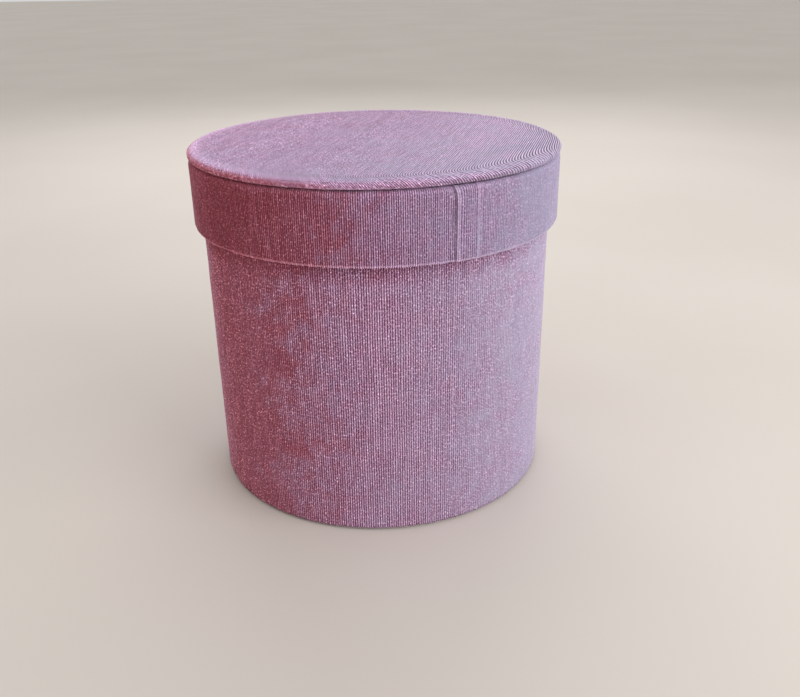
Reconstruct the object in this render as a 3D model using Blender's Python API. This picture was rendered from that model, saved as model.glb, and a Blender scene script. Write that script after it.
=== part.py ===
"""A round velvet-covered box with a lid that lifts off, as the separate pieces it is glued up from.

Metres, +Z up. The origin is at the middle of the underside, and -Y is the front of the box.
Every piece is turned about the Z axis from a profile: a list of (radius, height) points.
"""

import math

import bmesh
import bpy
from mathutils import Matrix

# The box, without its lid.
BODY_RADIUS = 0.0760
TUBE_HEIGHT = 0.1443
TUBE_WALL = 0.0020
BASE_BOARD = 0.0020

# The lid. Its radius follows from the box that it fits over.
LID_CLEARANCE = 0.0005
LID_RING_HEIGHT = 0.0265
LID_RING_WALL = 0.0012
LID_TOP_BOARD = 0.0012
LID_TOP_OVERHANG = 0.0003

# Cloth and paper.
VELVET = 0.0007
PAPER = 0.0003
GLUE_LINE = 0.0003

# How far each cloth edge is turned in, and how far a lining laps over it.
BODY_RIM_TURN_IN = 0.0120
BODY_BASE_TURN_UNDER = 0.0100
LID_RIM_TURN_IN = 0.0080
LID_RING_TOP_TURN_IN = 0.0040
LID_TOP_TURN_UNDER = 0.0100
LINING_LAP = 0.0040
LINING_JOGGLE = 0.0015
UNDERSIDE_INSET = 0.0015

# The lapped seams: a folded hem that lies on the other end of the strip.
LID_HEM_WIDTH = 0.0098
LID_HEM_RAISE = 0.0009
LID_LAP_RAISE = 0.0004
BODY_HEM_WIDTH = 0.0098
BODY_HEM_RAISE = 0.0007
BODY_LAP_RAISE = 0.0003
HEM_EDGE = 0.0003
HEM_STEP = 0.0010
LAP_FADE = 0.0060
HEM_PRESSED_FLAT = 0.0030
LID_SEAM_FROM_FRONT = math.radians(21.0)
BODY_SEAM_FROM_FRONT = math.radians(172.0)

# Roundness of the turned pieces, and of the cloth where it bends over an edge.
SIDES = 72
BEND_STEPS = 2
MERGE_DISTANCE = 0.000001
STRAIGHT = math.radians(0.1)
SMOOTH_BELOW = math.radians(30.0)

# Colours, as linear red, green and blue.
VELVET_COLOUR = (0.42, 0.16, 0.21)
CHIPBOARD_COLOUR = (0.33, 0.29, 0.24)
LINING_COLOUR = (0.80, 0.78, 0.74)
UNDERSIDE_COLOUR = (0.72, 0.69, 0.64)
VELVET_ROUGHNESS = 0.9
VELVET_SHEEN = 0.6
CHIPBOARD_ROUGHNESS = 0.85
PAPER_ROUGHNESS = 0.7

FRONT = math.radians(-90.0)


def clear_scene():
    for item in list(bpy.data.objects):
        bpy.data.objects.remove(item, do_unlink=True)


def frame_empty(name, height):
    """An empty on the Z axis that carries the pieces of one moving body."""
    empty = bpy.data.objects.new(name, None)
    empty.location = (0.0, 0.0, height)
    bpy.context.scene.collection.objects.link(empty)
    return empty


def finish(name, colour, roughness, sheen=0.0):
    """One piece's own material."""
    material = bpy.data.materials.new(name)
    material.use_nodes = True
    shader = material.node_tree.nodes["Principled BSDF"]
    shader.inputs["Base Color"].default_value = (*colour, 1.0)
    shader.inputs["Roughness"].default_value = roughness
    shader.inputs["Metallic"].default_value = 0.0
    shader.inputs["Sheen Weight"].default_value = sheen
    return material


def velvet(name):
    return finish(name, VELVET_COLOUR, VELVET_ROUGHNESS, VELVET_SHEEN)


def chipboard(name):
    return finish(name, CHIPBOARD_COLOUR, CHIPBOARD_ROUGHNESS)


def paper(name, colour=LINING_COLOUR):
    return finish(name, colour, PAPER_ROUGHNESS)


def disc_profile(radius, bottom, thickness):
    """A flat disc. The profile starts and ends on the axis."""
    top = bottom + thickness
    return [(0.0, bottom), (radius, bottom), (radius, top), (0.0, top)]


def ring_profile(outer_radius, wall, bottom, top):
    inner_radius = outer_radius - wall
    return [(inner_radius, bottom), (outer_radius, bottom), (outer_radius, top), (inner_radius, top)]


def cloth_profile(path, thickness):
    """Cloth laid along a path round a board, board on the left: rounded outside each bend, sharp inside."""
    outside = []
    for index, (radius, height) in enumerate(path):
        before = path[max(index - 1, 0)]
        after = path[min(index + 1, len(path) - 1)]
        arriving = math.atan2(height - before[1], radius - before[0])
        leaving = math.atan2(after[1] - height, after[0] - radius)
        if index == 0:
            arriving = leaving
        if index == len(path) - 1:
            leaving = arriving
        bend = (leaving - arriving + math.pi) % math.tau - math.pi
        steps = BEND_STEPS if abs(bend) > STRAIGHT else 0
        for step in range(steps + 1):
            turned_by = bend * step / steps if steps else 0.0
            facing = arriving + turned_by - math.pi / 2.0
            outside.append((radius + thickness * math.cos(facing), height + thickness * math.sin(facing)))
    if path[-1][0] == 0.0:
        return outside[::-1] + path
    return outside + path[::-1]


def even_stations():
    return [math.tau * side / SIDES for side in range(SIDES)]


def seam_rises(wall_radius, seam_from_front, hem_width, hem_raise, lap_raise):
    """Angle and rise of each line of a lapped seam, from the fold of the hem to where the under end runs out."""
    along = [
        (0.0, 0.0),
        (HEM_EDGE, hem_raise),
        (hem_width, hem_raise),
        (hem_width + HEM_STEP, lap_raise),
        (hem_width + HEM_STEP + LAP_FADE, 0.0),
    ]
    start = (FRONT + seam_from_front) % math.tau
    return [(start + distance / wall_radius, rise) for distance, rise in along]


def seamed_stations(rises):
    """The even stations outside the seam, and the seam's own lines across it."""
    first, last = rises[0][0], rises[-1][0]
    half_step = math.pi / SIDES / 2.0
    outside = [angle for angle in even_stations() if not first - half_step < angle < last + half_step]
    return sorted(outside + [angle for angle, rise in rises])


def rise_at(angle, rises):
    for (start, low), (end, high) in zip(rises, rises[1:]):
        if start <= angle <= end:
            return low + (high - low) * (angle - start) / (end - start)
    return 0.0


def turned(name, profile, material, carrier, stations=None, reshape=None):
    """Turn a profile about the Z axis, one station at a time, as one closed body carried by an empty."""
    stations = stations or even_stations()
    mesh = bmesh.new()
    points = [mesh.verts.new((radius, 0.0, height)) for radius, height in profile]
    loop_pairs = list(zip(points, points[1:]))
    if profile[0][0] > MERGE_DISTANCE:
        loop_pairs.append((points[-1], points[0]))
    line = [mesh.edges.new(pair) for pair in loop_pairs]
    bmesh.ops.rotate(mesh, verts=points, cent=(0.0, 0.0, 0.0), matrix=Matrix.Rotation(stations[0], 3, "Z"))
    for here, there in zip(stations, stations[1:] + [stations[0] + math.tau]):
        swept = bmesh.ops.spin(
            mesh, geom=line, cent=(0.0, 0.0, 0.0), axis=(0.0, 0.0, 1.0), angle=there - here, steps=1
        )
        line = [part for part in swept["geom_last"] if isinstance(part, bmesh.types.BMEdge)]
    bmesh.ops.remove_doubles(mesh, verts=mesh.verts, dist=MERGE_DISTANCE)
    if reshape:
        for vertex in mesh.verts:
            reshape(vertex)
    bmesh.ops.recalc_face_normals(mesh, faces=mesh.faces)
    data = bpy.data.meshes.new(name)
    mesh.to_mesh(data)
    mesh.free()
    data.materials.append(material)
    data.shade_smooth()
    data.set_sharp_from_angle(angle=SMOOTH_BELOW)
    piece = bpy.data.objects.new(name, data)
    piece.parent = carrier
    bpy.context.scene.collection.objects.link(piece)
    return piece


def raised_seam(wall_radius, rises, flat_above=None):
    """Push the cloth's outer face out along its seam. The rise fades where the cloth bends off the wall."""

    def reshape(vertex):
        radius = math.hypot(vertex.co.x, vertex.co.y)
        wall_share = min(max((radius - wall_radius) / VELVET, 0.0), 1.0)
        if flat_above is not None and vertex.co.z > flat_above:
            wall_share = 0.0
        angle = math.atan2(vertex.co.y, vertex.co.x) % math.tau
        scale = 1.0 + wall_share * rise_at(angle, rises) / radius if radius else 1.0
        vertex.co.x *= scale
        vertex.co.y *= scale

    return reshape


# Heights and radii of the box, from its underside up and from its cloth inwards.
underside_top = PAPER
body_cloth_bottom = underside_top + GLUE_LINE
body_cloth_low = body_cloth_bottom + VELVET
board_bottom = body_cloth_low + GLUE_LINE
tube_top = board_bottom + TUBE_HEIGHT
body_cloth_high = tube_top + GLUE_LINE
body_top = body_cloth_high + VELVET
body_wall_radius = BODY_RADIUS - VELVET
tube_radius = body_wall_radius - GLUE_LINE
tube_bore = tube_radius - TUBE_WALL
inside_radius = tube_bore - GLUE_LINE
rim_cloth_radius = inside_radius - VELVET
base_top = board_bottom + BASE_BOARD
lining_bottom = base_top + GLUE_LINE

# Heights of the lid, from its own rim up, and radii from the box outwards.
lid_inside_radius = BODY_RADIUS + LID_CLEARANCE
lid_bore_cloth = lid_inside_radius + VELVET
lid_ring_bore = lid_bore_cloth + GLUE_LINE
lid_ring_radius = lid_ring_bore + LID_RING_WALL
lid_wall_radius = lid_ring_radius + GLUE_LINE
lid_band_radius = lid_wall_radius + VELVET
lid_ring_bottom = VELVET + GLUE_LINE
lid_ring_top = lid_ring_bottom + LID_RING_HEIGHT
band_high = lid_ring_top + GLUE_LINE
band_top = band_high + VELVET
top_cloth_bottom = band_top + GLUE_LINE
top_cloth_low = top_cloth_bottom + VELVET
lid_board_bottom = top_cloth_low + GLUE_LINE
lid_board_top = lid_board_bottom + LID_TOP_BOARD
top_cloth_high = lid_board_top + GLUE_LINE
top_wall_radius = lid_band_radius + LID_TOP_OVERHANG - VELVET
lid_lining_top = top_cloth_bottom - GLUE_LINE
lid_lining_bottom = lid_lining_top - PAPER
lid_rest_height = body_top + GLUE_LINE - lid_lining_bottom


def build_body(carrier):
    """The chipboard tube and bottom, their velvet, and the paper that hides the raw edges."""
    turned("body_tube", ring_profile(tube_radius, TUBE_WALL, board_bottom, tube_top), chipboard("body_tube"), carrier)
    base_radius = tube_bore - GLUE_LINE
    turned("base_disc", disc_profile(base_radius, board_bottom, BASE_BOARD), chipboard("base_disc"), carrier)

    rises = seam_rises(body_wall_radius, BODY_SEAM_FROM_FRONT, BODY_HEM_WIDTH, BODY_HEM_RAISE, BODY_LAP_RAISE)
    seam_full_below = lid_rest_height - HEM_PRESSED_FLAT
    rim_raw_edge = body_cloth_high - BODY_RIM_TURN_IN
    wrap = [
        (body_wall_radius - BODY_BASE_TURN_UNDER, body_cloth_low),
        (body_wall_radius, body_cloth_low),
        (body_wall_radius, seam_full_below),
        (body_wall_radius, lid_rest_height),
        (body_wall_radius, body_cloth_high),
        (inside_radius, body_cloth_high),
        (inside_radius, rim_raw_edge),
    ]
    flat_above = (seam_full_below + lid_rest_height) / 2.0
    turned(
        "body_cover", cloth_profile(wrap, VELVET), velvet("body_cover"), carrier,
        seamed_stations(rises), raised_seam(body_wall_radius, rises, flat_above),
    )

    lap_radius = rim_cloth_radius - GLUE_LINE
    joggle_high = rim_raw_edge - GLUE_LINE
    joggle_low = joggle_high - LINING_JOGGLE
    lap_top = rim_raw_edge + LINING_LAP
    lining = [
        (inside_radius - PAPER, lining_bottom),
        (inside_radius, lining_bottom),
        (inside_radius, joggle_low),
        (lap_radius, joggle_high),
        (lap_radius, lap_top),
        (lap_radius - PAPER, lap_top),
        (lap_radius - PAPER, joggle_high),
        (inside_radius - PAPER, joggle_low),
    ]
    turned("body_lining", lining, paper("body_lining"), carrier)
    floor_radius = inside_radius - PAPER - GLUE_LINE
    turned("base_lining", disc_profile(floor_radius, lining_bottom, PAPER), paper("base_lining"), carrier)
    underside = disc_profile(BODY_RADIUS - UNDERSIDE_INSET, 0.0, PAPER)
    turned("underside_paper", underside, paper("underside_paper", UNDERSIDE_COLOUR), carrier)


def build_lid(carrier):
    """The lid's hoop in its velvet band, and the velvet-covered top board that is glued on it."""
    ring = ring_profile(lid_ring_radius, LID_RING_WALL, lid_ring_bottom, lid_ring_top)
    turned("lid_ring", ring, chipboard("lid_ring"), carrier)

    rises = seam_rises(lid_wall_radius, LID_SEAM_FROM_FRONT, LID_HEM_WIDTH, LID_HEM_RAISE, LID_LAP_RAISE)
    low_raw_edge = VELVET + LID_RIM_TURN_IN
    high_raw_edge = band_high - LID_RING_TOP_TURN_IN
    band = [
        (lid_bore_cloth, low_raw_edge),
        (lid_bore_cloth, VELVET),
        (lid_wall_radius, VELVET),
        (lid_wall_radius, band_high),
        (lid_bore_cloth, band_high),
        (lid_bore_cloth, high_raw_edge),
    ]
    turned(
        "lid_band_cover", cloth_profile(band, VELVET), velvet("lid_band_cover"), carrier,
        seamed_stations(rises), raised_seam(lid_wall_radius, rises),
    )
    strip = ring_profile(lid_bore_cloth, PAPER, low_raw_edge + GLUE_LINE, high_raw_edge - GLUE_LINE)
    turned("lid_ring_lining", strip, paper("lid_ring_lining"), carrier)

    board_radius = top_wall_radius - GLUE_LINE
    turned("lid_disc", disc_profile(board_radius, lid_board_bottom, LID_TOP_BOARD), chipboard("lid_disc"), carrier)
    top = [
        (top_wall_radius - LID_TOP_TURN_UNDER, top_cloth_low),
        (top_wall_radius, top_cloth_low),
        (top_wall_radius, top_cloth_high),
        (0.0, top_cloth_high),
    ]
    turned("lid_top_cover", cloth_profile(top, VELVET), velvet("lid_top_cover"), carrier)
    lining_radius = lid_inside_radius - GLUE_LINE
    turned(
        "lid_disc_lining", disc_profile(lining_radius, lid_lining_bottom, PAPER), paper("lid_disc_lining"), carrier
    )


clear_scene()
build_body(frame_empty("box_frame", 0.0))
build_lid(frame_empty("lid_frame", lid_rest_height))
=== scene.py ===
"""A round keepsake box covered in ribbed velvet, dressed piece by piece in the order it is glued up."""

import math

import bmesh
import bpy
import numpy as np
from mathutils import Matrix, Vector


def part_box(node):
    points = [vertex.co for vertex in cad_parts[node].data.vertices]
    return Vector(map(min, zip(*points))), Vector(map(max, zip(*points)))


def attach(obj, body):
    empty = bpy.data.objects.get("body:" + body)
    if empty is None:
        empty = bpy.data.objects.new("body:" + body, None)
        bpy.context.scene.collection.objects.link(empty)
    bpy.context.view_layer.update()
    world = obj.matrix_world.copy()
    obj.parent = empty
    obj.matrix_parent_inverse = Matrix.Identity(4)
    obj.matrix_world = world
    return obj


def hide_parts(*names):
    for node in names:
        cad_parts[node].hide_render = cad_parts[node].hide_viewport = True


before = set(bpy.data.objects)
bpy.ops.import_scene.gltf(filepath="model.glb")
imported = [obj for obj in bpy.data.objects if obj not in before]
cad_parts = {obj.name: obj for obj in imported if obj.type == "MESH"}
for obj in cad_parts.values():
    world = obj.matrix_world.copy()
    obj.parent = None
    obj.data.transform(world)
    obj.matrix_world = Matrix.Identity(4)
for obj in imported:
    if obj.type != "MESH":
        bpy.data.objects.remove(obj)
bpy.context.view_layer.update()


# The viewpoint. The box stands on a table and is seen from the front and above, with a phone's wide lens
# held less than half a metre away.
PHOTO_WIDTH_PX = 800.0
LENS_PX = 862.2
SENSOR_WIDTH_MM = 36.0
CAMERA_DISTANCE = 0.3794
CAMERA_HEIGHT = 0.2216
CAMERA_TILT = math.radians(24.27)
CAMERA_TURN = math.radians(1.44)
CAMERA_ROLL = math.radians(-0.93)


def add_object(name, data):
    """Put something new into the scene."""
    added = bpy.data.objects.new(name, data)
    bpy.context.scene.collection.objects.link(added)
    return added


camera_data = bpy.data.cameras.new("camera")
camera_data.sensor_width = SENSOR_WIDTH_MM
camera_data.lens = SENSOR_WIDTH_MM * LENS_PX / PHOTO_WIDTH_PX
camera = add_object("camera", camera_data)
camera.matrix_world = (
    Matrix.Translation((0.0, -CAMERA_DISTANCE, CAMERA_HEIGHT))
    @ Matrix.Rotation(-CAMERA_TURN, 4, "Z")
    @ Matrix.Rotation(math.pi / 2.0 - CAMERA_TILT, 4, "X")
    @ Matrix.Rotation(CAMERA_ROLL, 4, "Z")
)
bpy.context.scene.camera = camera


# The chipboard: the body's tube, its bottom, the lid's hoop and its top board. They are die-cut and rolled
# from grey board, and no edge of them shows once velvet and paper are glued over them.
BOARD_FIBRE = 0.0008
BOARD_FIBRE_DETAIL = 4.0
BOARD_CLOUD = 0.012
BOARD_CLOUD_DETAIL = 2.0
BOARD_TONES = [
    (0.12, (0.24, 0.21, 0.175, 1.0)),
    (0.42, (0.40, 0.36, 0.30, 1.0)),
]
BOARD_ROUGHNESS = 0.88
BOARD_RELIEF = 0.00004


def new_finish(name):
    """An empty procedural finish: its material, and the shader that its steps feed."""
    finish = bpy.data.materials.new(name)
    finish.use_nodes = True
    return finish, finish.node_tree.nodes["Principled BSDF"]


def add_step(finish, kind, feeds, **settings):
    """Add one node to a finish, fed with plain values or other steps' outputs. Gives its first output."""
    made = finish.node_tree.nodes.new(kind)
    for setting, value in settings.items():
        setattr(made, setting, value)
    for socket, feed in feeds.items():
        if isinstance(feed, bpy.types.NodeSocket):
            finish.node_tree.links.new(feed, made.inputs[socket])
        else:
            made.inputs[socket].default_value = feed
    return made.outputs[0]


def add_source(finish, kind, output, **settings):
    """Add one node that needs no feed, and give its output of this name."""
    return add_step(finish, kind, {}, **settings).node.outputs[output]


def add_noise(finish, place, grain, detail):
    """Soft noise in grains of a given size."""
    return add_step(finish, "ShaderNodeTexNoise", {"Vector": place, "Scale": 1.0 / grain, "Detail": detail})


def add_sum(finish, operation, *feeds):
    """One operation on plain numbers."""
    return add_step(finish, "ShaderNodeMath", dict(enumerate(feeds)), operation=operation)


def add_colour_sum(finish, operation, *feeds):
    """One operation on colours or places, part by part."""
    return add_step(finish, "ShaderNodeVectorMath", dict(enumerate(feeds)), operation=operation)


def add_tones(finish, factor, tones):
    """Colours that follow a factor: tones is a list of (factor, colour), from low to high."""
    made = finish.node_tree.nodes.new("ShaderNodeValToRGB")
    stops = made.color_ramp.elements
    while len(stops) < len(tones):
        stops.new(1.0)
    for stop, (place, colour) in zip(stops, tones):
        stop.position = place
        stop.color = colour
    finish.node_tree.links.new(factor, made.inputs["Fac"])
    return made.outputs["Color"]


def add_relief(finish, shader, height, depth):
    """Let a finish look raised where its height is high."""
    relief = add_step(finish, "ShaderNodeBump", {"Height": height, "Distance": depth, "Strength": 1.0})
    bump = relief.node.outputs["Normal"]
    finish.node_tree.links.new(bump, shader.inputs["Normal"])


def grey_board():
    """Pressed waste paper: short fibres and soft clouds."""
    finish, shader = new_finish("grey_board")
    place = add_source(finish, "ShaderNodeTexCoord", "Object")
    fibre = add_noise(finish, place, BOARD_FIBRE, BOARD_FIBRE_DETAIL)
    cloud = add_noise(finish, place, BOARD_CLOUD, BOARD_CLOUD_DETAIL)
    colour = add_tones(finish, add_sum(finish, "MULTIPLY", fibre, cloud), BOARD_TONES)
    finish.node_tree.links.new(colour, shader.inputs["Base Color"])
    shader.inputs["Roughness"].default_value = BOARD_ROUGHNESS
    add_relief(finish, shader, fibre, BOARD_RELIEF)
    return finish


board_finish = grey_board()
for board_name in ("body_tube", "base_disc", "lid_ring", "lid_disc"):
    board_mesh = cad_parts[board_name].data
    board_mesh.materials.clear()
    board_mesh.materials.append(board_finish)


# The body's velvet: one strip of ribbed velour, glued round the tube with its ribs upright, turned in over
# the rim and turned under the bottom. Its ends lap at the back in a folded hem.
VELVET = 0.0007
# The heights of the columns of points across one rib, from its valley over its crest, and their mean. A point
# in a valley counts to the rib after it.
RIB_COLUMN_SHARES = (0.0, 0.82, 1.0, 0.82)
RIB_MIDDLE_SHARE = 0.66
RIB_ROUNDING_SHARE = 0.000001
RIB_HEIGHT = 0.00060
RIB_VALLEY = 0.00045
RIB_UNEVENNESS_SHARE = 0.22
RIB_UNEVEN_LENGTH = 0.006
RIB_WANDER = 0.00013
RIB_WANDER_LENGTH = 0.016
RIB_WANDER_WIDTH = 0.006
BOARD_DENT = 0.00008
BOARD_DENT_SIZE = 0.035
BEND_STEPS = 4

BODY_RIBS = 492
BODY_ROW_STEP = 0.0052
BODY_BASE_BEND = 0.0012
BODY_RIM_BEND = 0.0016
BODY_RIM_TURN_IN = 0.0120
BODY_BASE_TURN_UNDER = 0.0100
BODY_SEAM_FROM_FRONT = math.radians(172.0)
BODY_HEM_WIDTH = 0.0098
BODY_HEM_RAISE = 0.0007
BODY_LAP_RAISE = 0.0003
BODY_SEED = 11
HEM_PRESSED_FLAT = 0.0030
BACK_COLUMNS_SHARE = 0.0625

# The lapped seam, from its folded edge over the hem and its ridge to where the end under it has faded.
FOLD_EDGE = 0.0004
FOLD_BULGE = 0.0008
FOLD_BULGE_SHARE = 1.15
FOLD_OVERHANG = 0.00055
FOLD_OVERHANG_WIDTH = 0.0026
FOLD_TUCK = 0.0004
FOLD_HOOK = 0.0014
FOLD_HOOK_WIDTH = 0.0030
FOLD_HOOK_HEIGHT = 0.0045
HEM_DIP_SHARE = 0.90
HEM_RIDGE = 0.0012
HEM_RIDGE_SHARE = 1.45
HEM_STEP = 0.0010
LAP_FADE = 0.0060

# Painted light on the velvet's tone: a sweep that paints it paler toward the lamp, right of the front, and
# deeper away from it, painted highlights and shadow where the cloth turns over an edge and along the seam's
# fold, and a painted shadow under the lid's rim. The sweep shares are its middle, its swing, and how far it
# turns paler again on its far side as a painted sheen.
PAINTED_LIGHT_TOWARD = math.radians(-15.0)
PAINTED_SHEEN_BACK_START_SHARE = 0.70
BODY_PAINTED_LIGHT_SHARES = (0.0, 1.0, 1.0)
# How much painted light lifts the pile along the edge that turns down, and along the one that turns up; a
# negative share is painted shadow, as at the body's bottom edge on the table.
BODY_PAINTED_EDGE_SHARES = (-0.7, 0.0)
EDGE_TURN_SHARE = 0.35
# Painted highlights along the seam's fold edge and its ridge, where the cloth catches the light.
FOLD_HIGHLIGHT_TONE_SHARE = 0.12
FOLD_HIGHLIGHT_PILE_SHARE = 0.42
FOLD_HIGHLIGHT_WIDTH = 0.0006
# A painted shadow on the body under the lid's rim, fading out below it and up the neck above it.
RIM_SHADOW_BELOW = 0.0075
RIM_SHADOW_ABOVE = 0.0200
RIM_SHADOW_TONE_SHARE = 0.38
RIM_SHADOW_PILE_SHARE = 0.34

FRONT = -math.pi / 2.0


def eased(share):
    """A share from 0 to 1 that leaves both ends softly."""
    return share * share * (3.0 - 2.0 * share)


def soft_noise(draws, across, along, lump_across, lump_along, round_length=None):
    """Smooth random values from -1 to 1 in lumps of a given size. They meet themselves round a ring."""
    if round_length:
        columns = max(int(round(round_length / lump_across)), 1)
        across_place = across * columns / round_length
    else:
        across_place = (across - across.min()) / lump_across
        columns = int(math.ceil(across_place.max())) + 2
    along_place = (along - along.min()) / lump_along
    rows = int(math.ceil(along_place.max())) + 2
    values = draws.uniform(-1.0, 1.0, (rows, columns))
    column = np.floor(across_place).astype(int)
    row = np.floor(along_place).astype(int)
    aside = eased(across_place - column)
    beyond = eased(along_place - row)
    left, right = column % columns, (column + 1) % columns
    low = values[row, left] * (1.0 - aside) + values[row, right] * aside
    high = values[row + 1, left] * (1.0 - aside) + values[row + 1, right] * aside
    return low * (1.0 - beyond) + high * beyond


def rounded_outline(corners, longest_step, bend_steps=BEND_STEPS):
    """Points along an outline of (radius, height, bend) corners, and the way each faces: to the right."""
    places = [np.array(corner[:2]) for corner in corners]
    points, facings = [], []

    def run_to(end, way):
        start = points[-1]
        pieces = max(int(math.ceil(np.linalg.norm(end - start) / longest_step)), 1)
        for piece in range(1, pieces + 1):
            points.append(start + (end - start) * piece / pieces)
            facings.append((way[1], -way[0]))

    ways = [(after - before) / np.linalg.norm(after - before) for before, after in zip(places, places[1:])]
    points.append(places[0])
    facings.append((ways[0][1], -ways[0][0]))
    for index in range(1, len(places) - 1):
        into, out_of, bend = ways[index - 1], ways[index], corners[index][2]
        turn = math.atan2(into[0] * out_of[1] - into[1] * out_of[0], float(into @ out_of))
        arm = math.copysign(bend, turn)
        run_to(places[index] - into * bend * math.tan(abs(turn) / 2.0), into)
        centre = points[-1] + arm * np.array((-into[1], into[0]))
        for piece in range(1, bend_steps + 1):
            angle = math.atan2(into[1], into[0]) - math.pi / 2.0 + turn * piece / bend_steps
            facing = np.array((math.cos(angle), math.sin(angle)))
            points.append(centre + arm * facing)
            facings.append(tuple(facing))
    run_to(places[-1], ways[-1])
    return np.array(points), np.array(facings)


def lengths_along(points):
    """The distance of each point from the first, along the line."""
    steps = np.linalg.norm(np.diff(points, axis=0), axis=1)
    return np.concatenate(([0.0], np.cumsum(steps)))


def seam_rise(distance, hem_width, hem_raise, lap_raise):
    """How far the cloth stands off its board, by the distance past the fold of a lapped seam."""
    ridge = hem_width - HEM_RIDGE
    places = [
        -FOLD_EDGE / 2.0, FOLD_EDGE / 2.0, FOLD_BULGE, 2.0 * FOLD_BULGE, ridge - HEM_RIDGE, ridge, hem_width,
        hem_width + HEM_STEP, hem_width + HEM_STEP + LAP_FADE,
    ]
    rises = [
        0.0, hem_raise, hem_raise * FOLD_BULGE_SHARE, hem_raise, hem_raise * HEM_DIP_SHARE,
        hem_raise * HEM_RIDGE_SHARE, hem_raise, lap_raise, 0.0,
    ]
    return np.interp(distance, places, rises)


def seam_shift(distance, below_top, folded):
    """How far round the cloth lies from its even place: its fold hangs over, and hooks back at the top."""
    places = [-FOLD_TUCK, -FOLD_EDGE / 2.0, FOLD_EDGE / 2.0, FOLD_BULGE, FOLD_BULGE + FOLD_OVERHANG_WIDTH]
    overhang = np.interp(distance, places, [0.0, FOLD_TUCK / 2.0, -FOLD_OVERHANG, -FOLD_OVERHANG, 0.0])
    near_top = np.clip(1.0 - below_top / FOLD_HOOK_HEIGHT, 0.0, 1.0)
    hook = -FOLD_HOOK * near_top * near_top * np.exp(-((distance / FOLD_HOOK_WIDTH) ** 2))
    return folded * overhang + hook


def zip_lines(first, second):
    """Triangles between two neighbouring lines of (place, point number), each in the order of its places."""
    triangles = []
    here = there = 0
    while here < len(first) - 1 or there < len(second) - 1:
        first_ends = here == len(first) - 1
        second_ends = there == len(second) - 1
        if second_ends or (not first_ends and first[here + 1][0] <= second[there + 1][0]):
            triangles.append((first[here][1], first[here + 1][1], second[there][1]))
            here += 1
        else:
            triangles.append((first[here][1], second[there + 1][1], second[there][1]))
            there += 1
    return triangles


def zip_rings(first, second):
    """Triangles between two rings of (angle, point number), each in the order of its angles."""
    return zip_lines(*(ring + [(ring[0][0] + math.tau, ring[0][1])] for ring in (first, second)))


def painted_light_sweep(angle, reach, middle, swing, back):
    """Painted light: a tone that rises toward the lamp, where the pile is painted pale, falls away from it,
    where it is painted deep, and rises again far round the back as a painted sheen.
    """
    toward = np.cos(angle - PAINTED_LIGHT_TOWARD)
    far_side = np.clip((-toward - PAINTED_SHEEN_BACK_START_SHARE) / (1.0 - PAINTED_SHEEN_BACK_START_SHARE), 0.0, 1.0)
    return middle + swing * reach * (toward + back * far_side)


def closed_mesh(name, points, faces, merge_distance=None):
    """A smooth mesh whose faces all point out of it."""
    data = bpy.data.meshes.new(name)
    data.from_pydata(points.tolist(), [], faces)
    shape = bmesh.new()
    shape.from_mesh(data)
    if merge_distance:
        bmesh.ops.remove_doubles(shape, verts=shape.verts, dist=merge_distance)
    bmesh.ops.recalc_face_normals(shape, faces=shape.faces)
    shape.to_mesh(data)
    shape.free()
    data.shade_smooth()
    return data


def cloth_piece(name, points, faces, along_cloth, pile, painted_light, round_length=None):
    """A piece of cloth that holds its pile, its painted light and its place on the flat cloth as attributes.
    """
    data = closed_mesh(name, points, faces)
    for label, values in (("pile", pile), ("painted_light", painted_light)):
        kept = np.zeros(len(points), np.float32)
        kept[:values.size] = values.ravel()
        data.attributes.new(label, "FLOAT", "POINT").data.foreach_set("value", kept)
    corners = np.empty(len(data.loops), np.int32)
    data.loops.foreach_get("vertex_index", corners)
    starts = np.empty(len(data.polygons), np.int32)
    counts = np.empty(len(data.polygons), np.int32)
    data.polygons.foreach_get("loop_start", starts)
    data.polygons.foreach_get("loop_total", counts)
    flat = along_cloth[corners]
    if round_length:
        across = flat[:, 0]
        widest = np.repeat(np.maximum.reduceat(across, starts), counts)
        across[widest - across > round_length / 2.0] += round_length
    cloth = data.uv_layers.new(name="cloth")
    cloth.data.foreach_set("uv", flat.astype(np.float32).ravel())
    return add_object(name, data)


def rib_relief(draws, across, along, crest, rib_pitch, round_length=None):
    """Height of the pile over its board side, as a share: crest is 0 in the valleys and 1 on the ribs."""
    rib = np.floor(across / rib_pitch + RIB_ROUNDING_SHARE)
    ribs_round = round(round_length / rib_pitch) if round_length else None
    uneven = soft_noise(draws, rib, along, 1.0, RIB_UNEVEN_LENGTH, ribs_round)
    return crest * (1.0 + RIB_UNEVENNESS_SHARE * uneven)


def glued_side(corners, angle, first_point):
    """The side of a hoop's cloth that is glued down: its points, their numbers row by row, and its faces."""
    places = np.array(corners)
    height = np.broadcast_to(places[:, 1:], (len(places), len(angle)))
    points = np.stack((places[:, :1] * np.cos(angle), places[:, :1] * np.sin(angle), height), axis=-1)
    number = first_point + np.arange(height.size).reshape(height.shape)
    ahead = np.roll(number, -1, axis=1)
    faces = np.stack((number[:-1], number[1:], ahead[1:], ahead[:-1]), axis=-1)
    return points.reshape(-1, 3), number, faces.reshape(-1, 4).tolist()


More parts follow.
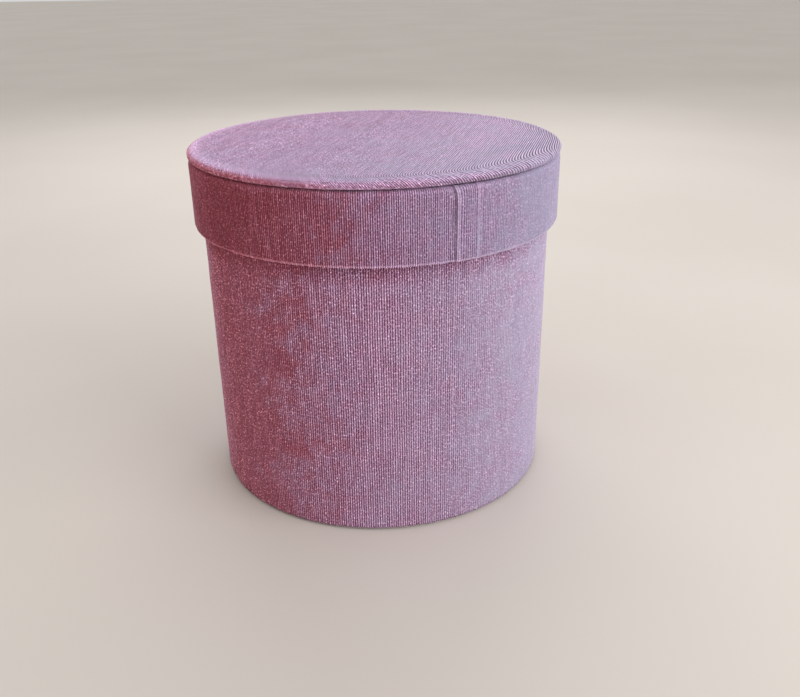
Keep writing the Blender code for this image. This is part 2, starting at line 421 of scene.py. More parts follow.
def wrapped_ribs(
    name, outline, back, ribs, row_step, seam_from_front, hem, painted_light, painted_edge_lights, seed,
    flat_above=None, lift=0.0,
):
    """Ribbed cloth glued round a hoop, from the corners of its pile side and of its back.

    hem holds the lapped seam's width, its rise, and the rise of the end under it. The seam lies flat above
    the height flat_above, round which a painted shadow of the lid's rim darkens the pile. lift is the share
    of the seam's rise by which it lifts the cloth's upper edge.
    """
    draws = np.random.default_rng(seed)
    points, facings = rounded_outline(outline, row_step)
    along = lengths_along(points)
    wall_radius = points[:, 0].max()
    round_length = math.tau * wall_radius
    rib_pitch = round_length / ribs
    per_rib = len(RIB_COLUMN_SHARES)
    columns = ribs * per_rib
    column = np.arange(columns)
    seam_angle = FRONT + seam_from_front
    across = np.broadcast_to(column * round_length / columns, (len(points), columns))
    lengthways = np.broadcast_to(along[:, None], across.shape)
    crest = np.broadcast_to(np.array(RIB_COLUMN_SHARES)[column % per_rib], across.shape)

    pile = rib_relief(draws, across, lengthways, crest, rib_pitch, round_length)
    wander = RIB_WANDER * soft_noise(
        draws, across, lengthways, RIB_WANDER_WIDTH, RIB_WANDER_LENGTH, round_length
    )
    dents = BOARD_DENT * soft_noise(draws, across, lengthways, BOARD_DENT_SIZE, BOARD_DENT_SIZE, round_length)
    past_fold = np.where(across > round_length / 2.0, across - round_length, across)
    rise = seam_rise(past_fold, *hem)
    outward = np.clip(facings[:, 0], 0.0, 1.0)[:, None]
    upward = np.clip(facings[:, 1], 0.0, 1.0)[:, None]
    pressed = 1.0
    rim_shadow = 0.0
    if flat_above is not None:
        pressed = np.clip((flat_above - points[:, 1]) / HEM_PRESSED_FLAT, 0.0, 1.0)[:, None]
        rise = rise * pressed
        # A painted shadow round the body under the lid's rim.
        ring = [flat_above - RIM_SHADOW_BELOW, flat_above, flat_above + RIM_SHADOW_ABOVE]
        rim_shadow = outward * np.interp(points[:, 1], ring, [0.0, 1.0, 0.0])[:, None]
    shift = seam_shift(past_fold, (points[:, 1].max() - points[:, 1])[:, None], outward * pressed)
    off_board = pile * RIB_HEIGHT - RIB_VALLEY + dents * outward
    # Painted highlights along the fold edge and the hem's ridge.
    folds = (FOLD_BULGE, hem[0] - HEM_RIDGE)
    fold_highlight = sum(np.exp(-(((past_fold - fold) / FOLD_HIGHLIGHT_WIDTH) ** 2)) for fold in folds) * pressed * outward
    # Painted light where the cloth turns over its edges: painted highlights on the band's edges, a painted
    # shadow on the body's bottom edge.
    turned = np.clip(facings[:, 1:] / EDGE_TURN_SHARE, -1.0, 1.0) * (outward > 0.0)
    painted_edge_light = painted_edge_lights[0] * np.clip(-turned, 0.0, 1.0) + painted_edge_lights[1] * np.clip(turned, 0.0, 1.0)
    radius = points[:, :1] + facings[:, :1] * off_board + rise * outward
    height = points[:, 1:] + facings[:, 1:] * off_board + rise * outward * upward * lift
    angle = seam_angle + (across + wander + shift) / wall_radius
    face_side = np.stack((radius * np.cos(angle), radius * np.sin(angle), height), axis=-1).reshape(-1, 3)
    flat = np.stack((across, lengthways), axis=-1).reshape(-1, 2)

    number = np.arange(len(points) * columns).reshape(len(points), columns)
    ahead = np.roll(number, -1, axis=1)
    quads = np.stack((number[:-1], ahead[:-1], ahead[1:], number[1:]), axis=-1).reshape(-1, 4)

    back_columns = int(columns * BACK_COLUMNS_SHARE)
    back_angle = seam_angle + math.tau * np.arange(back_columns) / back_columns
    back_side, back_number, back_faces = glued_side(back, back_angle, number.size)
    faces = quads.tolist() + back_faces
    for row in (0, -1):
        fine = list(zip((math.tau * column / columns).tolist(), number[row].tolist()))
        coarse = list(zip((back_angle - seam_angle).tolist(), back_number[row].tolist()))
        faces += zip_rings(fine, coarse)
    return cloth_piece(
        name,
        np.vstack((face_side, back_side)),
        faces,
        np.vstack((flat, np.zeros((len(back_side), 2)))),
        pile + painted_edge_light + FOLD_HIGHLIGHT_PILE_SHARE * fold_highlight - RIM_SHADOW_PILE_SHARE * rim_shadow,
        painted_light_sweep(angle, 1.0, *painted_light) + FOLD_HIGHLIGHT_TONE_SHARE * fold_highlight - RIM_SHADOW_TONE_SHARE * rim_shadow,
        round_length,
    )


# The colours of the velvet as its tone rises from painted shade to painted light, then how strongly painted
# shade in the rib valleys, painted highlights on the crests and painted glints change them, and how dark that
# painted shade may make them.
PAINTED_LIGHT_TONES = [
    (0.15, (0.325, 0.047, 0.071)),
    (0.42, (0.382, 0.097, 0.149)),
    (0.62, (0.443, 0.238, 0.380)),
    (0.83, (0.433, 0.301, 0.454)),
    (1.00, (0.420, 0.362, 0.505)),
]
PAINTED_SHADE_CONTRASTS = [
    (0.08, (0.45, 1.20, 1.00, 1.0)),
    (0.30, (0.62, 1.55, 1.28, 1.0)),
    (0.42, (0.46, 0.96, 0.82, 1.0)),
    (0.60, (0.46, 0.64, 0.55, 1.0)),
    (0.72, (0.42, 0.52, 0.44, 1.0)),
    (0.83, (0.36, 0.42, 0.36, 1.0)),
    (1.00, (0.16, 0.17, 0.15, 1.0)),
]
PAINTED_SHADE_FLOORS = [
    (0.30, (0.76, 0.70, 0.72, 1.0)),
    (0.45, (0.55, 0.42, 0.47, 1.0)),
    (0.60, (0.34, 0.20, 0.26, 1.0)),
]
# The body's copy of the velvet is painted a little lighter.
BODY_PAINTED_LEVEL_SHARES = (1.035, 1.025, 1.015)
VELVET_ROUGHNESS = 0.9
VELVET_GLOSS = 0.1
VELVET_SHEEN = 0.5
VELVET_SHEEN_ROUGHNESS = 0.5
VELVET_SHEEN_TINT = (0.98, 0.86, 1.0, 1.0)
FLECK_ACROSS = 0.00045
FLECK_ALONG = 0.00080
FLECK_DETAIL = 1.0
FLECK_RELIEF_SHARE = 3.0
NAP_PATCH = 0.020
NAP_PATCH_DETAIL = 1.0
NAP_CLOUD = 0.006
NAP_CLOUD_DETAIL = 3.0
FIBRE = 0.00022
FIBRE_DETAIL = 2.0
FIBRE_RELIEF = 0.00008
PAINTED_LIGHT_SHARE = 0.4167
PATCH_SHARE = 0.24
CLOUD_SHARE = 0.30
TONE_MIDDLE_SHARE = 0.313
PILE_PAINTED_SHADE_SHARE = 2.6
FLECK_SHARPNESS = 5.0
FLECK_MIDDLE_SHARE = 0.0545
BODY_FLECK_SHARE = 20.0


def ribbed_velvet(name, painted_levels, fleck_share):
    """Velvet toned by its painted light, with painted shade, highlights and glints on its ribs.
    The shades scale the tones' red, green and blue, painting each piece's copy lighter, darker or bluer.
    """
    finish, shader = new_finish(name)
    cloth = add_source(finish, "ShaderNodeAttribute", "Vector", attribute_name="cloth")
    pile = add_source(finish, "ShaderNodeAttribute", "Fac", attribute_name="pile")
    painted_light = add_source(finish, "ShaderNodeAttribute", "Fac", attribute_name="painted_light")
    stretched = add_colour_sum(finish, "MULTIPLY", cloth, (1.0 / FLECK_ACROSS, 1.0 / FLECK_ALONG, 1.0))
    fleck = add_noise(finish, stretched, 1.0, FLECK_DETAIL)
    patch = add_noise(finish, cloth, NAP_PATCH, NAP_PATCH_DETAIL)
    cloud = add_noise(finish, cloth, NAP_CLOUD, NAP_CLOUD_DETAIL)
    fibre = add_noise(finish, cloth, FIBRE, FIBRE_DETAIL)
    # The tone follows the painted light sweep, plus random patches and clouds that are the cloth's own.
    tone = add_sum(finish, "MULTIPLY_ADD", painted_light, PAINTED_LIGHT_SHARE, TONE_MIDDLE_SHARE)
    tone = add_sum(finish, "MULTIPLY_ADD", patch, PATCH_SHARE, tone)
    tone = add_sum(finish, "MULTIPLY_ADD", cloud, CLOUD_SHARE, tone)
    tones = []
    for place, parts in PAINTED_LIGHT_TONES:
        tones.append((place, (*(part * share for part, share in zip(parts, painted_levels)), 1.0)))
    hue = add_tones(finish, tone, tones)
    contrast = add_tones(finish, tone, PAINTED_SHADE_CONTRASTS)
    least = add_tones(finish, tone, PAINTED_SHADE_FLOORS)
    # Painted shade and highlight: the pile darkens the rib valleys and lightens the crests, and sharpened
    # flecks add painted glints that are partly the cloth's own grain.
    middle = -PILE_PAINTED_SHADE_SHARE * RIB_MIDDLE_SHARE - fleck_share * FLECK_MIDDLE_SHARE
    depth = add_sum(finish, "MULTIPLY_ADD", pile, PILE_PAINTED_SHADE_SHARE, middle)
    grain_and_glint = add_sum(finish, "POWER", fleck, FLECK_SHARPNESS)
    depth = add_sum(finish, "MULTIPLY_ADD", grain_and_glint, fleck_share, depth)
    shading = add_colour_sum(finish, "MULTIPLY_ADD", contrast, depth, (1.0, 1.0, 1.0))
    shading = add_colour_sum(finish, "MAXIMUM", shading, least)
    colour = add_colour_sum(finish, "MULTIPLY", hue, shading)
    rough_pile = add_sum(finish, "MULTIPLY_ADD", fleck, FLECK_RELIEF_SHARE, fibre)
    finish.node_tree.links.new(colour, shader.inputs["Base Color"])
    shader.inputs["Roughness"].default_value = VELVET_ROUGHNESS
    shader.inputs["Specular IOR Level"].default_value = VELVET_GLOSS
    shader.inputs["Sheen Weight"].default_value = VELVET_SHEEN
    shader.inputs["Sheen Roughness"].default_value = VELVET_SHEEN_ROUGHNESS
    shader.inputs["Sheen Tint"].default_value = VELVET_SHEEN_TINT
    add_relief(finish, shader, rough_pile, FIBRE_RELIEF)
    return finish


def dress(piece, finish, body, slot, *nodes):
    """Give a piece its finish, and let it stand for its CAD nodes on their body."""
    piece.data.materials.append(finish)
    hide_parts(*nodes)
    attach(piece, body)


body_low, body_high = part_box("body_cover")
body_radius = body_high.x
body_inner_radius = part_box("body_lining")[1].x - VELVET
body_bottom = body_low.z
body_top = body_high.z
lid_rim_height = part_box("lid_band_cover")[0].z
body_outline = [
    (body_radius - VELVET - BODY_BASE_TURN_UNDER, body_bottom, 0.0),
    (body_radius, body_bottom, BODY_BASE_BEND),
    (body_radius, body_top, BODY_RIM_BEND),
    (body_inner_radius, body_top, BODY_RIM_BEND),
    (body_inner_radius, body_top - VELVET - BODY_RIM_TURN_IN, 0.0),
]
body_back = [
    (body_radius - VELVET - BODY_BASE_TURN_UNDER, body_bottom + VELVET),
    (body_radius - VELVET, body_bottom + VELVET),
    (body_radius - VELVET, body_top - VELVET),
    (body_inner_radius + VELVET, body_top - VELVET),
    (body_inner_radius + VELVET, body_top - VELVET - BODY_RIM_TURN_IN),
]
body_velvet = wrapped_ribs(
    "body_velvet", body_outline, body_back, BODY_RIBS, BODY_ROW_STEP, BODY_SEAM_FROM_FRONT,
    (BODY_HEM_WIDTH, BODY_HEM_RAISE, BODY_LAP_RAISE), BODY_PAINTED_LIGHT_SHARES, BODY_PAINTED_EDGE_SHARES, BODY_SEED,
    flat_above=lid_rim_height,
)
body_finish = ribbed_velvet("ribbed_velvet", BODY_PAINTED_LEVEL_SHARES, BODY_FLECK_SHARE)
dress(body_velvet, body_finish, "box", "velvet", "body_cover")
body_strip_width = float(lengths_along(rounded_outline(body_outline, BODY_ROW_STEP)[0])[-1])


# The lining papers inside the box and the paper disc under it: plain stout paper, cut to size and glued in
# last, so that it laps over the raw edges of the velvet.
PAPER = 0.0003
PAPER_SIDES = 180
PAPER_ROW_STEP = 0.012
PAPER_RING_STEP = 0.006
PAPER_WAVE = 0.00005
PAPER_WAVE_SIZE = 0.022
# How far a paper's waves go in radius and in height: a strip waves in and out, a disc up and down.
STRIP_WAVE_SHARES = (1.0, 0.0)
DISC_WAVE_SHARES = (0.0, 1.0)
EVEN_WAVE_SHARES = (0.0, 0.0)
BODY_LINING_SEED = 21
BASE_LINING_SEED = 22
UNDERSIDE_SEED = 23
LINING_JOGGLE = 0.0015
LINING_TONES = [
    (0.75, (0.72, 0.70, 0.655, 1.0)),
    (1.0, (0.80, 0.78, 0.74, 1.0)),
]
UNDERSIDE_TONES = [
    (0.75, (0.64, 0.61, 0.555, 1.0)),
    (1.0, (0.73, 0.70, 0.65, 1.0)),
]
PAPER_ROUGHNESS = 0.72
PAPER_FIBRE = 0.0009
PAPER_FIBRE_DETAIL = 5.0
PAPER_CLOUD = 0.014
PAPER_CLOUD_DETAIL = 2.0
PAPER_RELIEF = 0.00003
PAPER_SHARP_EDGE = math.radians(40.0)
MERGE_DISTANCE = 0.000001


def stout_paper(name, tones):
    """Stout paper with fine fibres, in tones from its clouds' shade to their pale."""
    finish, shader = new_finish(name)
    place = add_source(finish, "ShaderNodeTexCoord", "Object")
    fibre = add_noise(finish, place, PAPER_FIBRE, PAPER_FIBRE_DETAIL)
    cloud = add_noise(finish, place, PAPER_CLOUD, PAPER_CLOUD_DETAIL)
    colour = add_tones(finish, add_sum(finish, "ADD", fibre, cloud), tones)
    finish.node_tree.links.new(colour, shader.inputs["Base Color"])
    shader.inputs["Roughness"].default_value = PAPER_ROUGHNESS
    add_relief(finish, shader, fibre, PAPER_RELIEF)
    return finish


def paper_piece(name, outline, seed, waving):
    """Paper turned from a closed outline of (radius, height), waving a little in radius and height."""
    draws = np.random.default_rng(seed)
    places = np.array(outline)
    angle = math.tau * np.arange(PAPER_SIDES) / PAPER_SIDES
    wall_radius = places[:, 0].max()
    round_length = math.tau * wall_radius
    across = np.broadcast_to(angle * wall_radius, (len(places), PAPER_SIDES))
    along = np.broadcast_to((places[:, 0] + places[:, 1])[:, None], across.shape)
    wave = PAPER_WAVE * soft_noise(draws, across, along, PAPER_WAVE_SIZE, PAPER_WAVE_SIZE, round_length)
    wave = wave * (places[:, :1] > 0.0)
    radius = places[:, :1] + wave * waving[0]
    height = places[:, 1:] + wave * waving[1]
    points = np.stack((radius * np.cos(angle), radius * np.sin(angle), height), axis=-1).reshape(-1, 3)
    number = np.arange(len(places) * PAPER_SIDES).reshape(len(places), PAPER_SIDES)
    on_axis = places[0, 0] == 0.0
    rings = number if on_axis else np.vstack((number, number[:1]))
    ahead = np.roll(rings, -1, axis=1)
    faces = np.stack((rings[:-1], ahead[:-1], ahead[1:], rings[1:]), axis=-1).reshape(-1, 4).tolist()
    data = closed_mesh(name, points, faces, MERGE_DISTANCE)
    data.set_sharp_from_angle(angle=PAPER_SHARP_EDGE)
    return add_object(name, data)


def disc_outline(node):
    """A paper disc's outline, from its middle out along the bottom and back along the top, in even rings."""
    low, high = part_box(node)
    rings = int(math.ceil(high.x / PAPER_RING_STEP))
    radii = [high.x * ring / rings for ring in range(rings + 1)]
    return [(radius, low.z) for radius in radii] + [(radius, high.z) for radius in reversed(radii)]


def strip_outline(bends, thickness):
    """A paper strip's outline, up along the (radius, height) bends of its glued side and back down inside."""
    outer = []
    for (radius, height), (next_radius, next_height) in zip(bends, bends[1:]):
        pieces = max(int(math.ceil((next_height - height) / PAPER_ROW_STEP)), 1)
        for piece in range(pieces):
            share = piece / pieces
            outer.append((radius + (next_radius - radius) * share, height + (next_height - height) * share))
    outer.append(bends[-1])
    return outer + [(radius - thickness, height) for radius, height in reversed(outer)]


lining_finish = stout_paper("lining_paper", LINING_TONES)
underside_finish = stout_paper("underside_paper", UNDERSIDE_TONES)

lining_low, lining_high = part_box("body_lining")
glue_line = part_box("underside_paper")[1].z
raw_edge = body_top - VELVET - BODY_RIM_TURN_IN
lap_radius = body_inner_radius - glue_line
lining_bends = [
    (lining_high.x, lining_low.z),
    (lining_high.x, raw_edge - glue_line - LINING_JOGGLE),
    (lap_radius, raw_edge - glue_line),
    (lap_radius, lining_high.z),
]
lining_outline = strip_outline(lining_bends, PAPER)
body_lining_paper = paper_piece("body_lining_paper", lining_outline, BODY_LINING_SEED, STRIP_WAVE_SHARES)
dress(body_lining_paper, lining_finish, "box", "lining_paper", "body_lining")
base_outline = disc_outline("base_lining")
base_paper = paper_piece("base_lining_paper", base_outline, BASE_LINING_SEED, DISC_WAVE_SHARES)
dress(base_paper, lining_finish, "box", "lining_paper", "base_lining")
under_outline = disc_outline("underside_paper")
under_paper = paper_piece("underside_paper_disc", under_outline, UNDERSIDE_SEED, EVEN_WAVE_SHARES)
dress(under_paper, underside_finish, "box", "underside_paper", "underside_paper")


# The lid's band: a strip of the same velour round the hoop, turned in at both edges. Its end is folded under
# in a hem and lapped over the other end, a little to the right of the front.
BAND_RIBS = 585
BAND_ROW_STEP = 0.0020
BAND_RIM_PILE = 0.0005
BAND_RIM_BEND = 0.0013
BAND_TOP_BEND = 0.0022
BAND_TOP_INNER_BEND = 0.0007
LID_SEAM_FROM_FRONT = math.radians(21.6)
LID_HEM_WIDTH = 0.0098
LID_HEM_RAISE = 0.0009
LID_LAP_RAISE = 0.0004
LID_HEM_LIFT_SHARE = 0.9
BAND_SEED = 12
# The band's painted light sweep: deeper in its middle and wider in its swing than the body's.
BAND_PAINTED_LIGHT_SHARES = (-0.383, 1.486, 0.9)
# Painted highlights along the band's lower edge and, fainter, its upper edge.
BAND_PAINTED_EDGE_SHARES = (0.75, 0.18)
# The band's copy of the velvet is painted darker and bluer, as painted shade.
BAND_PAINTED_LEVEL_SHARES = (0.87, 0.88, 0.91)
BAND_FLECK_SHARE = 16.0

strip_low, strip_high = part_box("lid_ring_lining")
band_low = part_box("lid_band_cover")[0]
hoop_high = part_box("lid_ring")[1]
band_radius = hoop_high.x + glue_line + VELVET
band_inner_radius = strip_high.x - VELVET
low_raw_edge = strip_low.z - glue_line
high_raw_edge = strip_high.z + glue_line
band_top = hoop_high.z + VELVET
band_rim = band_low.z - BAND_RIM_PILE
band_outline = [
    (band_inner_radius, low_raw_edge, 0.0),
    (band_inner_radius, band_rim, BAND_RIM_BEND),
    (band_radius, band_rim, BAND_RIM_BEND),
    (band_radius, band_top, BAND_TOP_BEND),
    (band_inner_radius, band_top, BAND_TOP_INNER_BEND),
    (band_inner_radius, high_raw_edge, 0.0),
]
band_back = [
    (band_inner_radius + VELVET, low_raw_edge),
    (band_inner_radius + VELVET, band_low.z + VELVET),
    (band_radius - VELVET, band_low.z + VELVET),
    (band_radius - VELVET, band_top - BAND_TOP_BEND),
    (hoop_high.x, hoop_high.z),
    (band_inner_radius + VELVET, hoop_high.z),
    (band_inner_radius + VELVET, high_raw_edge),
]
band_velvet = wrapped_ribs(
    "lid_band_velvet", band_outline, band_back, BAND_RIBS, BAND_ROW_STEP, LID_SEAM_FROM_FRONT,
    (LID_HEM_WIDTH, LID_HEM_RAISE, LID_LAP_RAISE), BAND_PAINTED_LIGHT_SHARES, BAND_PAINTED_EDGE_SHARES, BAND_SEED,
    lift=LID_HEM_LIFT_SHARE,
)
band_finish = ribbed_velvet("ribbed_velvet_band", BAND_PAINTED_LEVEL_SHARES, BAND_FLECK_SHARE)
dress(band_velvet, band_finish, "lid", "velvet", "lid_band_cover")
band_strip_width = float(lengths_along(rounded_outline(band_outline, BAND_ROW_STEP)[0])[-1])


# The lid's top: a disc of the velour, glued over the top board, drawn down over its edge and turned under.
# The ribs run straight across the board, and the pull round its edge drags them aside there.
TOP_RIB_PITCH = 0.00089
TOP_RIBS_FROM_RIGHT = math.radians(73.2)
TOP_SHOULDER_WIDTH = 0.0018
TOP_SHOULDER_DROP = 0.00126
TOP_SHOULDER_BEND = 0.0045
TOP_ROLL_BEND = 0.0011
TOP_ROLL_UNDER_BEND = 0.0013
TOP_RIBS_FADE = 0.0008
TOP_BEND_STEPS = 6
TOP_TURN_UNDER = 0.0100
TOP_ROW_STEP = 0.0030
TOP_BACK_COLUMNS = 144
TOP_SEED = 13

# The pull round the edge: how wide a rim it drags, how far it turns the ribs there, and between which angles
# from the front it passes from a drag that follows the ribs to an even one.
TOP_DRAG_WIDTH = 0.0120
TOP_DRAG_STEP = 0.0014
TOP_DRAG_SLOPE_SHARE = 0.95
TOP_DRAG_SOFTENING_SHARE = 0.12
TOP_DRAG_NATURAL_INSIDE = math.radians(45.0)
TOP_DRAG_EVEN_OUTSIDE = math.radians(80.0)
TOP_DRAG_SAMPLES = 97

# The rise of the roll over the band's seam.
PINCH = 0.0004
PINCH_HALF_WIDTH = math.radians(6.0)

# Painted light on the top: its tone swept paler toward the lamp on the board and on the edge, painted shade
# and highlight on its ribs mostly on the lamp side, its rim painted lighter away from the lamp and a little
# darker toward it, its shoulder painted lighter, and its roll painted darker where it turns under.
TOP_PAINTED_LIGHT_SHARES = (0.55, 0.34, 0.0)
TOP_PAINTED_LIGHT_TURN = math.radians(25.0)
TOP_EDGE_PAINTED_LIGHT_SHARES = (-0.16, 1.20, 0.6)
TOP_ROLL_PAINTED_LIGHT_SHARPNESS = 5.0
TOP_RIBS_SHOWN_SHARE = 5.0
TOP_RIBS_CENTRE_SHARE = 0.72
TOP_RIBS_HIDDEN_AT_SHARE = -0.1
TOP_RIBS_CLEAR_AT_SHARE = 0.8
TOP_RIBS_ON_ROLL_SHARE = 0.2
TOP_RIM_WIDTH = 0.0080
TOP_RIM_PAINTED_LIGHT_SHARES = (0.50, -0.70)
TOP_SHOULDER_PAINTED_LIGHT_SHARE = 0.16
TOP_ROLL_PAINTED_SHADE_SHARE = -0.22
# The top's copy of the velvet is painted a little bluer, as painted light.
TOP_PAINTED_LEVEL_SHARES = (1.0, 0.98, 1.01)
TOP_FLECK_SHARE = 23.0

top_low, top_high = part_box("lid_top_cover")
top_radius = top_high.x
top_inner_radius = top_radius - VELVET - TOP_TURN_UNDER


def smooth_share(value, start, end):
    """How far a value has come from start to end, leaving both softly."""
    return eased(np.clip((value - start) / (end - start), 0.0, 1.0))


def dragged_aside(distance, angle):
    """How far round the rim the pull has turned the cloth, by its distance from the middle and its angle."""
    from_front = (angle - FRONT + math.pi) % math.tau - math.pi
    rib_angle = TOP_RIBS_FROM_RIGHT - angle
    outward_run = np.cos(rib_angle)
    sideways_run = np.sin(rib_angle)
    natural = sideways_run * outward_run / (outward_run * outward_run + TOP_DRAG_SOFTENING_SHARE)
    near_front = smooth_share(np.abs(from_front), TOP_DRAG_EVEN_OUTSIDE, TOP_DRAG_NATURAL_INSIDE)
    slope = TOP_DRAG_SLOPE_SHARE - natural * near_front
    start = top_radius - TOP_DRAG_WIDTH
    reach = np.linspace(start, start + 2.0 * TOP_DRAG_WIDTH, TOP_DRAG_SAMPLES)
    weight = smooth_share(reach, start, start + TOP_DRAG_WIDTH)
    gathered = np.concatenate(([0.0], np.cumsum((weight[1:] + weight[:-1]) / 2.0 * np.diff(reach))))
    return slope * np.interp(distance, reach, gathered) / top_radius


def line_stops(offset, rings, longest_step):
    """Places along a rib line this far from the middle: where it meets the rings, and steps between."""
    crossings = [math.sqrt(ring * ring - offset * offset) for ring in rings if ring > abs(offset)]
    marks = [-place for place in reversed(crossings)] + crossings
    stops = [marks[0]]
    for start, end in zip(marks, marks[1:]):
        pieces = max(int(math.ceil((end - start) / longest_step)), 1)
        stops += [start + (end - start) * piece / pieces for piece in range(1, pieces + 1)]
    return stops


def top_back(rim_ring, first_point):
    """The top cloth's glued side: its points, and its faces with those that close the rim."""
    places = [
        (top_inner_radius, top_low.z + VELVET),
        (top_radius - VELVET, top_low.z + VELVET),
        (top_radius - VELVET, top_high.z - VELVET),
    ]
    turns = (math.tau * np.arange(TOP_BACK_COLUMNS) / TOP_BACK_COLUMNS).tolist()
    points, rings = [], []
    for radius, height in places:
        here = first_point + len(points)
        rings.append(list(range(here, here + TOP_BACK_COLUMNS)))
        points += [(radius * math.cos(turn), radius * math.sin(turn), height) for turn in turns]
    middle = first_point + len(points)
    points.append((0.0, 0.0, top_high.z - VELVET))
    faces = zip_rings(rim_ring, list(zip(turns, rings[0])))
    ahead = [ring[1:] + ring[:1] for ring in rings]
    for index in range(len(rings) - 1):
        faces += zip(rings[index], ahead[index], ahead[index + 1], rings[index + 1])
    faces += [(start, end, middle) for start, end in zip(rings[-1], ahead[-1])]
    return points, faces


def top_pile_and_painted_light(pile, crest, from_middle, radius, angle, upward):
    """The top's painted light: rib shade and highlight on the lamp side, a tone swept toward the lamp, and
    painted light and shade on rim, shoulder and roll.
    """
    on_top = painted_light_sweep(angle + TOP_PAINTED_LIGHT_TURN, radius / top_radius, *TOP_PAINTED_LIGHT_SHARES)
    on_edge = painted_light_sweep(angle, radius / top_radius, *TOP_EDGE_PAINTED_LIGHT_SHARES)
    painted_light = on_edge + (on_top - on_edge) * upward ** TOP_ROLL_PAINTED_LIGHT_SHARPNESS
    # Painted shade and highlight on the ribs, strong on the lamp side and faint elsewhere.
    sideways = radius * np.cos(angle - PAINTED_LIGHT_TOWARD) / top_radius
    shown = smooth_share(sideways, TOP_RIBS_HIDDEN_AT_SHARE, TOP_RIBS_CLEAR_AT_SHARE)
    shown = shown * (TOP_RIBS_ON_ROLL_SHARE + (1.0 - TOP_RIBS_ON_ROLL_SHARE) * upward)
    pile = pile + (crest - TOP_RIBS_CENTRE_SHARE) * TOP_RIBS_SHOWN_SHARE * shown
    # Painted light on the rim and shoulder, and painted shade on the roll where it turns under.
    near_rim = smooth_share(from_middle, top_radius - TOP_RIM_WIDTH, top_radius - TOP_SHOULDER_WIDTH)
    on_left, more_on_right = TOP_RIM_PAINTED_LIGHT_SHARES
    pile = pile + near_rim * (on_left + more_on_right * np.clip(sideways, 0.0, 1.0))
    pile = pile + TOP_SHOULDER_PAINTED_LIGHT_SHARE * np.sin(math.pi * upward) + TOP_ROLL_PAINTED_SHADE_SHARE * (1.0 - upward)
    return pile, painted_light


def lid_top_cloth():
    """The top's cloth, laid rib line by rib line, and the radius of the flat disc it was cut as."""
    draws = np.random.default_rng(TOP_SEED)
    outline = [
        (0.0, top_high.z, 0.0),
        (top_radius - TOP_SHOULDER_WIDTH, top_high.z, TOP_SHOULDER_BEND),
        (top_radius, top_high.z - TOP_SHOULDER_DROP, TOP_ROLL_BEND),
        (top_radius, top_low.z, TOP_ROLL_UNDER_BEND),
        (top_inner_radius, top_low.z, 0.0),
    ]
    mirrored = [(-radius, height, bend) for radius, height, bend in outline]
    section, facings = rounded_outline(mirrored, TOP_DRAG_STEP, TOP_BEND_STEPS)
    section[:, 0] *= -1.0
    facings[:, 0] *= -1.0
    distance = lengths_along(section)
    edge = distance[-1]
    rings = [place for place in distance.tolist() if place > top_radius - TOP_DRAG_WIDTH]
    pitch = TOP_RIB_PITCH / len(RIB_COLUMN_SHARES)
    last_line = int((edge - pitch / 2.0) / pitch)
    offsets, rib_lines, faces = [], [], []
    count = 0
    for line in range(-last_line, last_line + 1):
        places = line_stops(line * pitch, rings, TOP_ROW_STEP)
        offsets += [line * pitch] * len(places)
        rib_lines.append(list(zip(places, range(count, count + len(places)))))
        count += len(places)
    for rib_line, next_line in zip(rib_lines, rib_lines[1:]):
        faces += zip_lines(rib_line, next_line)
    across = np.array(offsets)
    along = np.array([place for rib_line in rib_lines for place, point in rib_line])
    line_number = np.rint(across / pitch).astype(int)
    crest = np.array(RIB_COLUMN_SHARES)[line_number % len(RIB_COLUMN_SHARES)]
    pile = rib_relief(draws, across, along, crest, TOP_RIB_PITCH)
    across_drawn = across + RIB_WANDER * soft_noise(draws, across, along, RIB_WANDER_WIDTH, RIB_WANDER_LENGTH)
    dents = BOARD_DENT * soft_noise(draws, across, along, BOARD_DENT_SIZE, BOARD_DENT_SIZE)
    from_middle = np.hypot(across, along)
    plan_angle = TOP_RIBS_FROM_RIGHT - np.arctan2(across_drawn, along)
    angle = plan_angle + dragged_aside(from_middle, plan_angle)
    roll_end = edge - (top_radius - TOP_ROLL_UNDER_BEND - top_inner_radius)
    visible = smooth_share(from_middle, roll_end, roll_end - TOP_RIBS_FADE)
    off_board = (pile * RIB_HEIGHT - RIB_VALLEY) * visible
    facing_out = np.interp(from_middle, distance, facings[:, 0])
    facing_up = np.interp(from_middle, distance, facings[:, 1])
    radius = np.interp(from_middle, distance, section[:, 0]) + facing_out * off_board
    height = np.interp(from_middle, distance, section[:, 1]) + facing_up * (off_board + dents)
    seam_place = (angle - FRONT - LID_SEAM_FROM_FRONT + math.pi) % math.tau - math.pi
    pinch = PINCH * np.exp(-((seam_place / PINCH_HALF_WIDTH) ** 2)) * np.clip(facing_out, 0.0, 1.0)
    height = height + pinch
    face_side = np.stack((radius * np.cos(angle), radius * np.sin(angle), height), axis=-1)
    rim = {rib_line[end][1] for rib_line in rib_lines for end in (0, -1)}
    rim |= {point for rib_line in (rib_lines[0], rib_lines[-1]) for place, point in rib_line}
    rim_ring = sorted((float(angle[point] % math.tau), point) for point in rim)
    back_side, back_faces = top_back(rim_ring, count)
    faces += back_faces
    flat = np.vstack((np.stack((across, along), axis=-1), np.zeros((len(back_side), 2))))
    pile, painted_light = top_pile_and_painted_light(pile, crest, from_middle, radius, angle, np.clip(facing_up, 0.0, 1.0))
    points = np.vstack((face_side, np.array(back_side)))
    return cloth_piece("lid_top_velvet", points, faces, flat, pile, painted_light), edge


lid_top_velvet, top_flat_radius = lid_top_cloth()
top_finish = ribbed_velvet("ribbed_velvet_top", TOP_PAINTED_LEVEL_SHARES, TOP_FLECK_SHARE)
dress(lid_top_velvet, top_finish, "lid", "velvet", "lid_top_cover")


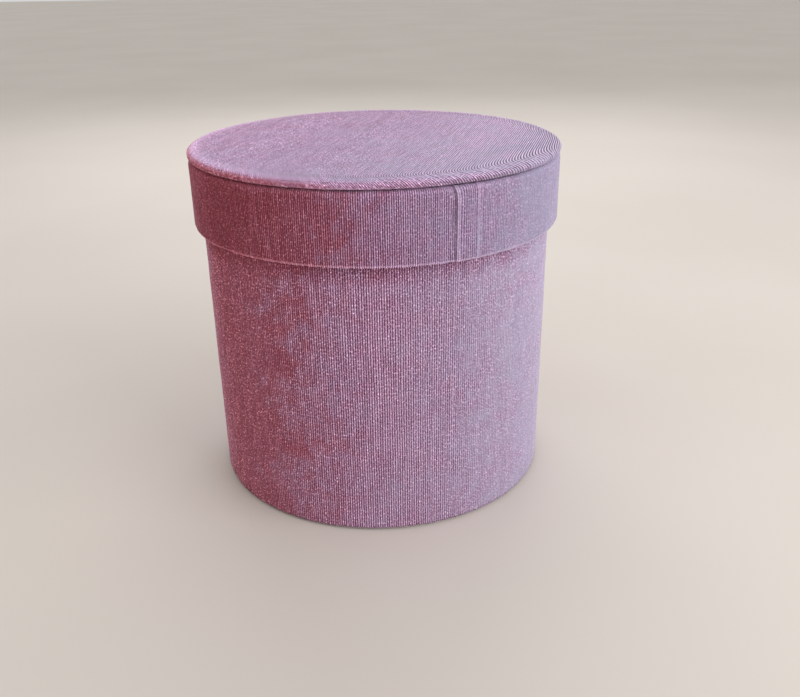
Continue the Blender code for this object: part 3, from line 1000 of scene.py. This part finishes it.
# The lid's own lining: a paper strip inside the hoop between the turned-in edges, and a paper disc that
# closes the top from below. Both are cut from the body's lining paper and glued in last.
RING_LINING_SEED = 24
DISC_LINING_SEED = 25

ring_outline = strip_outline([(strip_high.x, strip_low.z), (strip_high.x, strip_high.z)], PAPER)
ring_paper = paper_piece("lid_ring_lining_paper", ring_outline, RING_LINING_SEED, STRIP_WAVE_SHARES)
dress(ring_paper, lining_finish, "lid", "lining_paper", "lid_ring_lining")
disc_paper_outline = disc_outline("lid_disc_lining")
disc_paper = paper_piece("lid_disc_lining_paper", disc_paper_outline, DISC_LINING_SEED, DISC_WAVE_SHARES)
dress(disc_paper, lining_finish, "lid", "lining_paper", "lid_disc_lining")


# The table and the light: a plain pale floor, a soft white panel like a window to the right of the front, a
# weaker one high behind, and an even white room all round.
FLOOR_HALF_WIDTH = 6.0
FLOOR_CORNER_SHARES = ((-1, -1), (1, -1), (1, 1), (-1, 1))
FLOOR_TONES = [
    (0.35, (0.69, 0.63, 0.57, 1.0)),
    (0.65, (0.72, 0.66, 0.60, 1.0)),
]
FLOOR_CLOUD = 0.25
FLOOR_CLOUD_DETAIL = 2.0
FLOOR_ROUGHNESS = 0.8
LIGHT_AIM_HEIGHT = 0.08
LIGHT_SIZE = 0.8
WINDOW_PLACE = (0.770, -0.539, 0.422)
WINDOW_POWER = 6.0
ROOM_PLACE = (0.0, 0.766, 0.723)
ROOM_POWER = 3.5
SKY_COLOUR = (1.0, 1.0, 1.0, 1.0)
SKY_STRENGTH = 0.65


def pale_floor():
    """A matt floor with faint clouds."""
    finish, shader = new_finish("pale_floor")
    place = add_source(finish, "ShaderNodeTexCoord", "Object")
    cloud = add_noise(finish, place, FLOOR_CLOUD, FLOOR_CLOUD_DETAIL)
    colour = add_tones(finish, cloud, FLOOR_TONES)
    finish.node_tree.links.new(colour, shader.inputs["Base Color"])
    shader.inputs["Roughness"].default_value = FLOOR_ROUGHNESS
    return finish


def soft_panel(name, place, power):
    """A square lamp that faces the middle of the box."""
    data = bpy.data.lights.new(name, "AREA")
    data.size = LIGHT_SIZE
    data.energy = power
    lamp = add_object(name, data)
    lamp.location = place
    aim = Vector((0.0, 0.0, LIGHT_AIM_HEIGHT)) - Vector(place)
    lamp.rotation_euler = aim.to_track_quat("-Z", "Y").to_euler()


floor_mesh = bpy.data.meshes.new("floor")
floor_corners = [(x * FLOOR_HALF_WIDTH, y * FLOOR_HALF_WIDTH, 0.0) for x, y in FLOOR_CORNER_SHARES]
floor_mesh.from_pydata(floor_corners, [], [(0, 1, 2, 3)])
floor_mesh.materials.append(pale_floor())
floor = add_object("floor", floor_mesh)

soft_panel("window_light", WINDOW_PLACE, WINDOW_POWER)
soft_panel("room_light", ROOM_PLACE, ROOM_POWER)
sky = bpy.data.worlds.new("sky")
sky.use_nodes = True
sky.node_tree.nodes["Background"].inputs["Color"].default_value = SKY_COLOUR
sky.node_tree.nodes["Background"].inputs["Strength"].default_value = SKY_STRENGTH
bpy.context.scene.world = sky
bpy.context.scene.view_settings.view_transform = "Standard"
